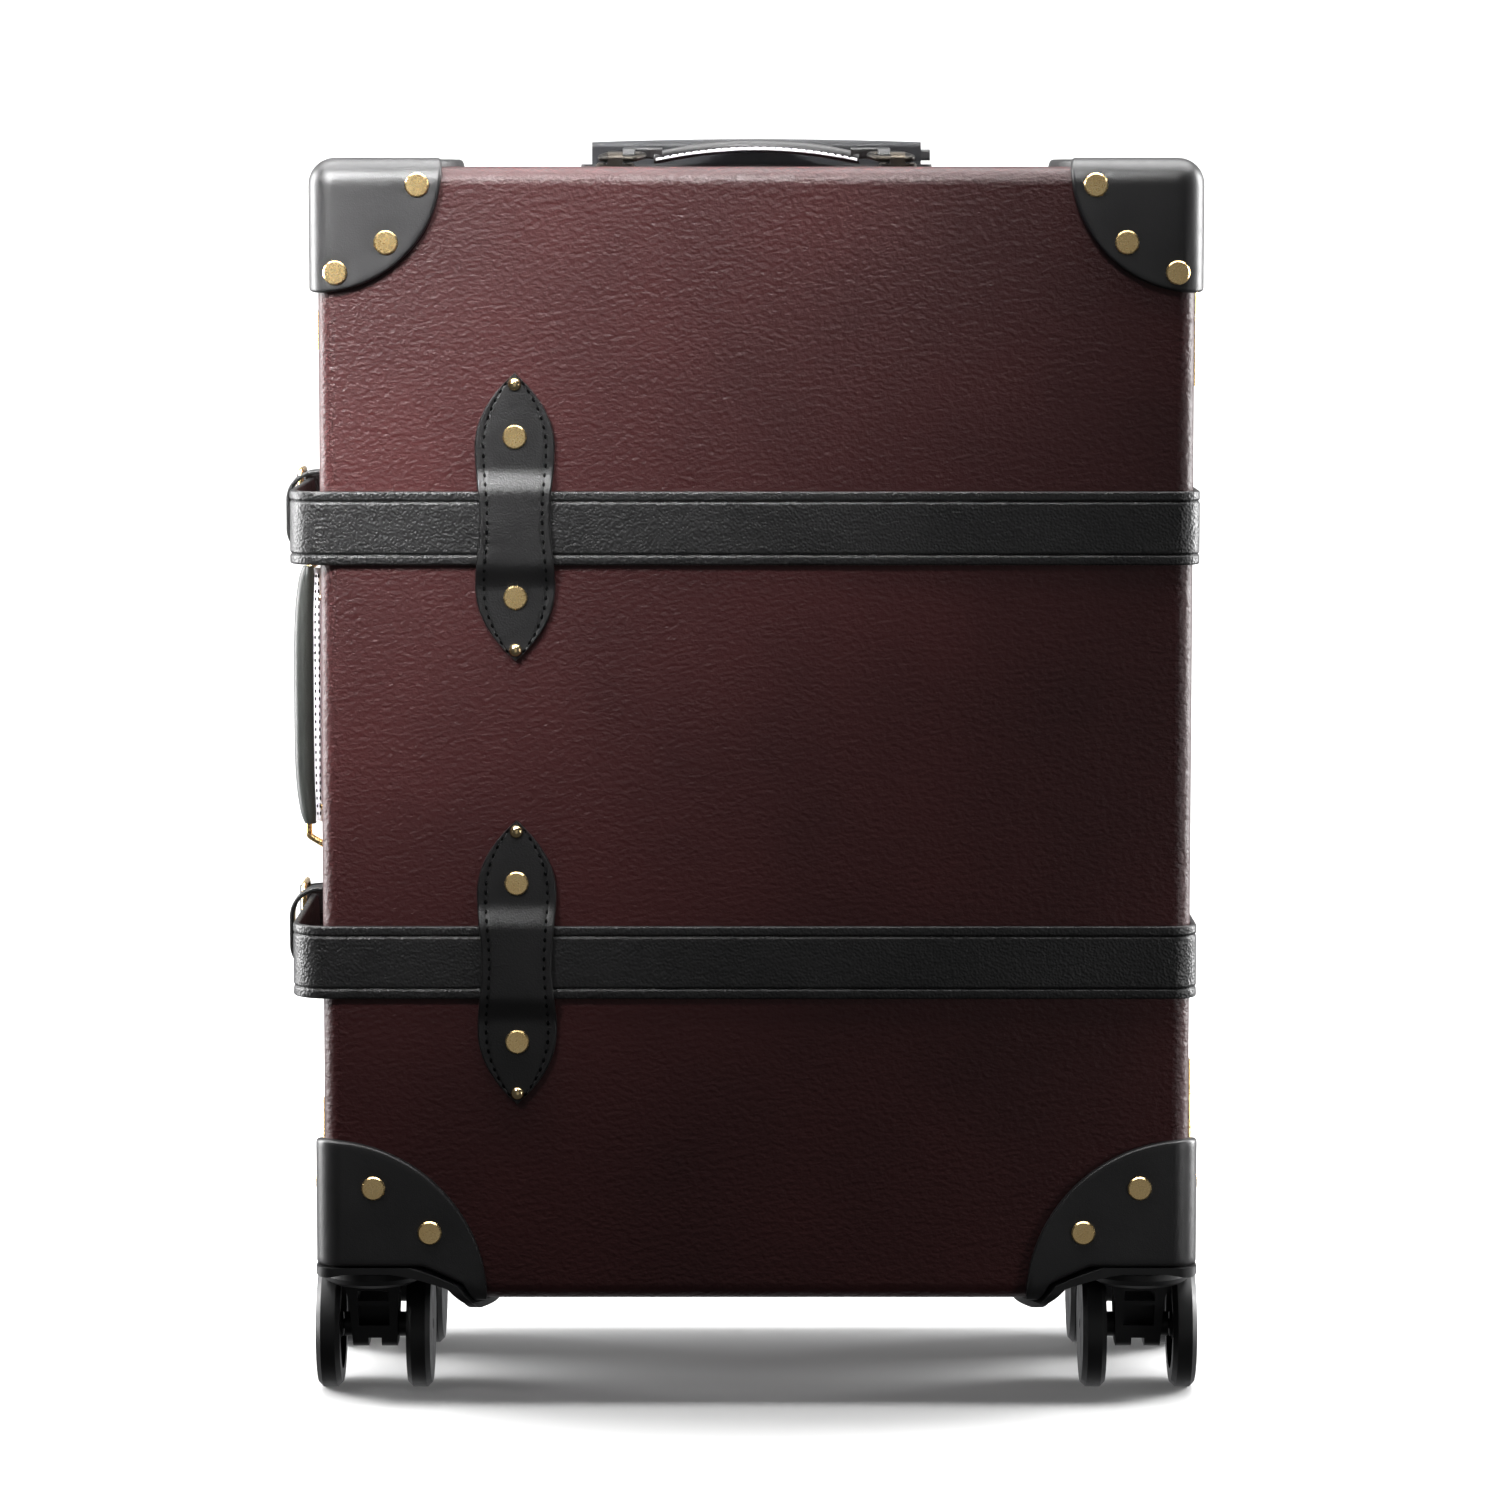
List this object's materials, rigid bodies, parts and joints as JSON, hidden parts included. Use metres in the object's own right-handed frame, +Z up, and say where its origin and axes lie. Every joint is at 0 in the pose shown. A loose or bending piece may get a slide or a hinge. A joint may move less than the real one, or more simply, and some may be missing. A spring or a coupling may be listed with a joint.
{
  "type": "carry-on suitcase",
  "caption": "Upright trunk-style carry-on case of fibreboard with leather corners and belts, side-hinged lid, telescopic trolley handle and twin-wheel spinner casters.",
  "frame": {"origin": "on the floor, under the middle of the case body", "axes": "+Z up along the case's height, -Y out of the lid's face, +X to the hinge side"},
  "size_m": [0.4277, 0.212, 0.576],
  "materials": {
    "oxblood_fibreboard": "vulcanised fibreboard, fine pebbled grain, satin",
    "black_leather": "smooth black bridle leather, semi-matt",
    "brass": "polished brass",
    "black_plastic": "moulded black nylon, fine matt grain",
    "satin_aluminium": "satin anodised",
    "lining_cloth": "plain woven lining",
    "rim_metal": "satin",
    "wheel_rubber": "black polyurethane tread on a black hub",
    "cover_board": "thin board behind the lining"
  },
  "bodies": {
    "case_base": {"base_shell": "oxblood_fibreboard", "base_rim": "rim_metal", "base_lining": "lining_cloth", "trolley_cover_board": "cover_board", "rear_top_corners": "black_leather", "rear_bottom_corners": "black_leather", "rear_caster_housings": "black_plastic", "back_strap_loops": "black_leather", "strap_upper_back": "black_leather", "strap_lower_back": "black_leather", "strap_keepers": "black_leather", "buckle_frames": "brass", "lock_bodies": "brass", "side_handle_mounts": "brass", "top_handle_mounts": "brass", "trolley_tray": "black_plastic", "trolley_outer_tubes": "satin_aluminium", "trolley_foot_bracket": "rim_metal", "hinge_leaves_base": "brass"},
    "lid": {"lid_shell": "oxblood_fibreboard", "lid_lining": "lining_cloth", "front_top_corners": "black_leather", "front_bottom_corners": "black_leather", "front_caster_housings": "black_plastic", "front_strap_loops": "black_leather", "strap_upper_front": "black_leather", "strap_lower_front": "black_leather", "lock_hasp_mounts": "brass", "hinge_leaves_lid": "brass"},
    "trolley_middle": {"trolley_middle_tubes": "satin_aluminium"},
    "trolley_handle": {"trolley_inner_tubes": "satin_aluminium", "trolley_grip": "black_plastic"},
    "release_button": {"grip_release_button": "black_plastic"},
    "top_handle": {"top_handle_grip": "black_leather", "top_handle_rings": "brass"},
    "side_handle": {"side_handle_grip": "black_leather", "side_handle_rings": "brass"},
    "hasp_upper": {"lock_hasp_upper": "brass"},
    "lock_slide_upper": {"lock_button_upper": "brass"},
    "prong_upper": {"buckle_prong_upper": "brass"},
    "hasp_lower": {"lock_hasp_lower": "brass"},
    "lock_slide_lower": {"lock_button_lower": "brass"},
    "prong_lower": {"buckle_prong_lower": "brass"},
    "caster_front_left": {"caster_fork_front_left": "black_plastic"},
    "wheel_outer_front_left": {"outer_wheel_front_left": "wheel_rubber"},
    "wheel_inner_front_left": {"inner_wheel_front_left": "wheel_rubber"},
    "caster_front_right": {"caster_fork_front_right": "black_plastic"},
    "wheel_outer_front_right": {"outer_wheel_front_right": "wheel_rubber"},
    "wheel_inner_front_right": {"inner_wheel_front_right": "wheel_rubber"},
    "caster_rear_left": {"caster_fork_rear_left": "black_plastic"},
    "wheel_outer_rear_left": {"outer_wheel_rear_left": "wheel_rubber"},
    "wheel_inner_rear_left": {"inner_wheel_rear_left": "wheel_rubber"},
    "caster_rear_right": {"caster_fork_rear_right": "black_plastic"},
    "wheel_outer_rear_right": {"outer_wheel_rear_right": "wheel_rubber"},
    "wheel_inner_rear_right": {"inner_wheel_rear_right": "wheel_rubber"}
  },
  "joints": [
    {"name": "lid_hinge", "type": "hinge", "parent": "case_base", "child": "lid", "pos_m": [0.2015, 0, 0.306], "axis": [0, 0, 1], "range_deg": [0, 100]},
    {"name": "trolley_lower_slide", "type": "slide", "parent": "case_base", "child": "trolley_middle", "axis": [0, 0, 1], "range_m": [0, 0.215]},
    {"name": "trolley_upper_slide", "type": "slide", "parent": "trolley_middle", "child": "trolley_handle", "axis": [0, 0, 1], "range_m": [0, 0.215]},
    {"name": "release_press", "type": "slide", "parent": "trolley_handle", "child": "release_button", "axis": [-1, 0, 0], "range_m": [0, 0.0025], "stiffness_N_per_m": 400},
    {"name": "top_handle_swing", "type": "hinge", "parent": "case_base", "child": "top_handle", "pos_m": [0, 0.03, 0.566], "axis": [1, 0, 0], "range_deg": [0, 150]},
    {"name": "side_handle_swing", "type": "hinge", "parent": "case_base", "child": "side_handle", "pos_m": [-0.2015, 0.026, 0.311], "axis": [0, 0, 1], "range_deg": [-70, 70]},
    {"name": "hasp_upper_swing", "type": "hinge", "parent": "lid", "child": "hasp_upper", "pos_m": [-0.2005, -0.016, 0.487], "axis": [0, 0, 1], "range_deg": [0, 100]},
    {"name": "lock_upper_slide", "type": "slide", "parent": "case_base", "child": "lock_slide_upper", "axis": [0, 0, 1], "range_m": [0, 0.006], "stiffness_N_per_m": 300},
    {"name": "prong_upper_swing", "type": "hinge", "parent": "case_base", "child": "prong_upper", "pos_m": [-0.2139, 0.048, 0.401], "axis": [0, 0, -1], "range_deg": [0, 110]},
    {"name": "hasp_lower_swing", "type": "hinge", "parent": "lid", "child": "hasp_lower", "pos_m": [-0.2005, -0.016, 0.119], "axis": [0, 0, 1], "range_deg": [0, 100]},
    {"name": "lock_lower_slide", "type": "slide", "parent": "case_base", "child": "lock_slide_lower", "axis": [0, 0, 1], "range_m": [0, 0.006], "stiffness_N_per_m": 300},
    {"name": "prong_lower_swing", "type": "hinge", "parent": "case_base", "child": "prong_lower", "pos_m": [-0.2139, 0.048, 0.205], "axis": [0, 0, -1], "range_deg": [0, 110]},
    {"name": "swivel_front_left", "type": "hinge", "parent": "lid", "child": "caster_front_left", "pos_m": [-0.176, -0.068, 0.06], "axis": [0, 0, 1], "continuous": true},
    {"name": "spin_outer_front_left", "type": "hinge", "parent": "caster_front_left", "child": "wheel_outer_front_left", "pos_m": [-0.1967, -0.05, 0.029], "axis": [1, 0, 0], "continuous": true},
    {"name": "spin_inner_front_left", "type": "hinge", "parent": "caster_front_left", "child": "wheel_inner_front_left", "pos_m": [-0.1553, -0.05, 0.029], "axis": [1, 0, 0], "continuous": true},
    {"name": "swivel_front_right", "type": "hinge", "parent": "lid", "child": "caster_front_right", "pos_m": [0.176, -0.068, 0.06], "axis": [0, 0, 1], "continuous": true},
    {"name": "spin_outer_front_right", "type": "hinge", "parent": "caster_front_right", "child": "wheel_outer_front_right", "pos_m": [0.1967, -0.05, 0.029], "axis": [1, 0, 0], "continuous": true},
    {"name": "spin_inner_front_right", "type": "hinge", "parent": "caster_front_right", "child": "wheel_inner_front_right", "pos_m": [0.1553, -0.05, 0.029], "axis": [1, 0, 0], "continuous": true},
    {"name": "swivel_rear_left", "type": "hinge", "parent": "case_base", "child": "caster_rear_left", "pos_m": [-0.176, 0.068, 0.06], "axis": [0, 0, 1], "continuous": true},
    {"name": "spin_outer_rear_left", "type": "hinge", "parent": "caster_rear_left", "child": "wheel_outer_rear_left", "pos_m": [-0.1967, 0.05, 0.029], "axis": [1, 0, 0], "continuous": true},
    {"name": "spin_inner_rear_left", "type": "hinge", "parent": "caster_rear_left", "child": "wheel_inner_rear_left", "pos_m": [-0.1553, 0.05, 0.029], "axis": [1, 0, 0], "continuous": true},
    {"name": "swivel_rear_right", "type": "hinge", "parent": "case_base", "child": "caster_rear_right", "pos_m": [0.176, 0.068, 0.06], "axis": [0, 0, 1], "continuous": true},
    {"name": "spin_outer_rear_right", "type": "hinge", "parent": "caster_rear_right", "child": "wheel_outer_rear_right", "pos_m": [0.1967, 0.05, 0.029], "axis": [1, 0, 0], "continuous": true},
    {"name": "spin_inner_rear_right", "type": "hinge", "parent": "caster_rear_right", "child": "wheel_inner_rear_right", "pos_m": [0.1553, 0.05, 0.029], "axis": [1, 0, 0], "continuous": true}
  ]
}
